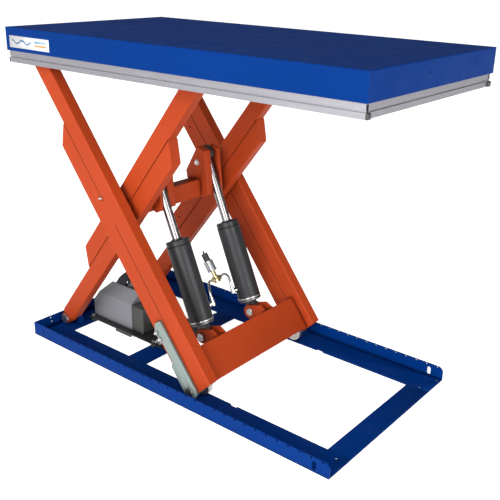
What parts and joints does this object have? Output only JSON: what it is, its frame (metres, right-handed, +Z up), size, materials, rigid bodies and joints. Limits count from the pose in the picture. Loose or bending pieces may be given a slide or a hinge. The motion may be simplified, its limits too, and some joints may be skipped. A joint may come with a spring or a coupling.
{
  "type": "scissor lift table",
  "caption": "Stationary hydraulic scissor lift table: flat tray platform on crossed twin-tube arms over an open base frame, with cylinders, safety frame and power pack.",
  "frame": {"origin": "on the floor under the middle of the platform", "axes": "+Z up, +X along the platform towards the roller end, -Y towards the long side that carries the maintenance prop"},
  "size_m": [1.5, 0.78, 1.225],
  "materials": {
    "base_paint": "satin blue powder coat",
    "platform_paint": "satin blue powder coat",
    "arm_paint": "satin orange powder coat",
    "cylinder_paint": "satin charcoal paint",
    "pin_steel": "zinc plated, satin",
    "roller_steel": "turned steel",
    "rod_chrome": "hard chrome, polished",
    "rod_eye_steel": "dark steel",
    "eye_pin_steel": "turned steel",
    "fitting_steel": "plated fittings and pipe",
    "valve_brass": "plain brass",
    "valve_body": "satin",
    "coil_plastic": "black",
    "trip_aluminium": "extruded, satin anodised",
    "cap_plastic": "black",
    "prop_zinc": "light grey",
    "pack_black": "black",
    "foot_rubber": "matt black",
    "cover_grey": "light grey, satin",
    "block_grey": "dark grey",
    "fan_plastic": "black"
  },
  "bodies": {
    "base": {"base_side_plate_near": "base_paint", "base_side_plate_far": "base_paint", "base_upright_near": "base_paint", "base_upright_far": "base_paint", "base_upright_left": "base_paint", "base_cross_plates": "base_paint", "foot_lugs": "base_paint", "foot_pins": "pin_steel", "pack_plate": "pack_black", "pack_feet": "foot_rubber", "pack_bolts": "pin_steel", "pack_cover": "cover_grey", "pump_block": "block_grey", "motor_body": "pack_black", "motor_fan_cover": "pack_black", "outlet_block": "block_grey", "outlet_ports": "pin_steel"},
    "inner_arms": {"inner_arm_near": "arm_paint", "inner_arm_far": "arm_paint", "inner_arm_hubs": "arm_paint", "upper_roller_axles": "pin_steel", "upper_cross_tube": "arm_paint", "upper_cylinder_brackets": "arm_paint", "upper_pin_stubs": "pin_steel"},
    "outer_arms": {"outer_arm_near": "arm_paint", "outer_arm_far": "arm_paint", "outer_arm_hubs": "arm_paint", "grease_nipples": "fitting_steel", "lower_roller_axles": "pin_steel", "lower_cross_member": "arm_paint", "lower_cylinder_brackets": "arm_paint", "lower_cylinder_pins": "pin_steel"},
    "platform": {"deck": "platform_paint", "skirts": "platform_paint", "roller_rails": "platform_paint", "head_lugs": "platform_paint", "head_pins": "pin_steel", "trip_hangers": "pin_steel", "trip_sensors": "coil_plastic"},
    "trip_frame": {"trip_bars": "trip_aluminium", "trip_corner_caps": "cap_plastic", "trip_strikers": "trip_aluminium"},
    "cylinders": {"cylinder_barrels": "cylinder_paint", "cylinder_bases": "rod_eye_steel", "cylinder_glands": "cylinder_paint", "valve_tee": "valve_brass", "valve_body": "valve_body", "valve_coil": "coil_plastic", "pipe_fittings": "fitting_steel", "pipes": "fitting_steel"},
    "rods": {"piston_rods": "rod_chrome", "rod_eyes": "rod_eye_steel", "rod_eye_pins": "eye_pin_steel"},
    "prop": {"prop_bar": "prop_zinc", "prop_bolts": "pin_steel"},
    "fan": {"motor_fan": "fan_plastic"},
    "lower_roller_near": {"lower_roller_near": "roller_steel"},
    "lower_roller_far": {"lower_roller_far": "roller_steel"},
    "upper_roller_near": {"upper_roller_near": "roller_steel"},
    "upper_roller_far": {"upper_roller_far": "roller_steel"}
  },
  "joints": [
    {"name": "lift", "type": "hinge", "parent": "base", "child": "inner_arms", "pos_m": [-0.696, 0, 0.042], "axis": [0, -1, 0], "range_deg": [-49.42, 0]},
    {"name": "arm_cross", "type": "hinge", "parent": "inner_arms", "child": "outer_arms", "pos_m": [-0.29898, 0, 0.61], "axis": [0, -1, 0], "range_deg": [0, 98.83]},
    {"name": "platform_level", "type": "hinge", "parent": "outer_arms", "child": "platform", "pos_m": [-0.696, 0, 1.178], "axis": [0, -1, 0], "range_deg": [-49.42, 0]},
    {"name": "lower_roller_near_spin", "type": "hinge", "parent": "outer_arms", "child": "lower_roller_near", "pos_m": [0.09804, -0.2763, 0.042], "axis": [0, 1, 0], "continuous": true},
    {"name": "lower_roller_far_spin", "type": "hinge", "parent": "outer_arms", "child": "lower_roller_far", "pos_m": [0.09804, 0.2763, 0.042], "axis": [0, 1, 0], "continuous": true},
    {"name": "upper_roller_near_spin", "type": "hinge", "parent": "inner_arms", "child": "upper_roller_near", "pos_m": [0.09804, -0.2763, 1.178], "axis": [0, 1, 0], "continuous": true},
    {"name": "upper_roller_far_spin", "type": "hinge", "parent": "inner_arms", "child": "upper_roller_far", "pos_m": [0.09804, 0.2763, 1.178], "axis": [0, 1, 0], "continuous": true},
    {"name": "cylinder_tilt", "type": "hinge", "parent": "outer_arms", "child": "cylinders", "pos_m": [-0.0096, 0, 0.15242], "axis": [0, -1, 0], "range_deg": [-2.11, 0]},
    {"name": "rod_stroke", "type": "slide", "parent": "cylinders", "child": "rods", "axis": [-0.3908, 0, 0.9205], "range_m": [-0.22255, 0]},
    {"name": "trip_rise", "type": "slide", "parent": "platform", "child": "trip_frame", "axis": [0, 0, 1], "range_m": [0, 0.008]},
    {"name": "prop_swing", "type": "hinge", "parent": "outer_arms", "child": "prop", "pos_m": [0.09804, -0.34, 0.042], "axis": [0, 1, 0], "range_deg": [0, 127]},
    {"name": "fan_spin", "type": "hinge", "parent": "base", "child": "fan", "pos_m": [-0.58, 0.014, 0.11], "axis": [1, 0, 0], "continuous": true}
  ],
  "couplings": [
    {"joint": "arm_cross", "follows": "lift", "ratio": -2},
    {"joint": "platform_level", "follows": "lift", "ratio": 1},
    {"joint": "cylinder_tilt", "follows": "lift", "ratio": 0.042601},
    {"joint": "rod_stroke", "follows": "lift", "m_per_rad": 0.25804}
  ]
}
